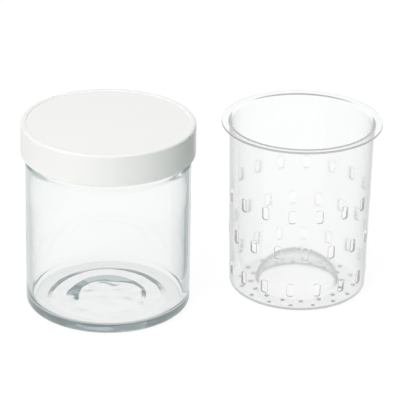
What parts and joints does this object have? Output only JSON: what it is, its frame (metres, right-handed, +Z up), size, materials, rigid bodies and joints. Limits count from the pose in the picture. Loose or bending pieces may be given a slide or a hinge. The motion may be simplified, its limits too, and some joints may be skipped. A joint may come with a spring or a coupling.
{
  "type": "yogurt jar set",
  "caption": "Round glass jar with a domed base and a white screw-on lid, beside the clear slotted draining strainer that hangs in its mouth.",
  "frame": {"origin": "middle of the footprint of the set on the table: halfway between the lid's far edge and the strainer's far edge, on the line through both axes", "axes": "+X from the jar's axis to the strainer's axis, +Z up along both axes, +Y completes the right hand"},
  "size_m": [0.1892, 0.09, 0.1007],
  "materials": {
    "clear_glass": "clear pressed glass with a faint green tint at its edges",
    "white_plastic": "smooth moulded white plastic, satin to semi-gloss",
    "seal_rubber": "soft off-white silicone",
    "clear_plastic": "thin clear moulded plastic, glossy"
  },
  "bodies": {
    "jar": {"jar": "clear_glass"},
    "disc": {"sealing_disc": "seal_rubber"},
    "lid": {"lid": "white_plastic"},
    "strainer": {"strainer": "clear_plastic"}
  },
  "joints": [
    {"name": "lid_lift", "type": "slide", "parent": "jar", "child": "disc", "axis": [0, 0, 1], "range_m": [0, 0.016]},
    {"name": "lid_turn", "type": "hinge", "parent": "disc", "child": "lid", "pos_m": [-0.0496, 0, 0.09], "axis": [0, 0, 1], "range_deg": [0, 1152]},
    {"name": "strainer_lift", "type": "slide", "parent": "jar", "child": "strainer", "axis": [0, 0, 1], "range_m": [0, 0.12]}
  ],
  "couplings": [
    {"joint": "lid_lift", "follows": "lid_turn", "m_per_rad": 0.00079577}
  ]
}
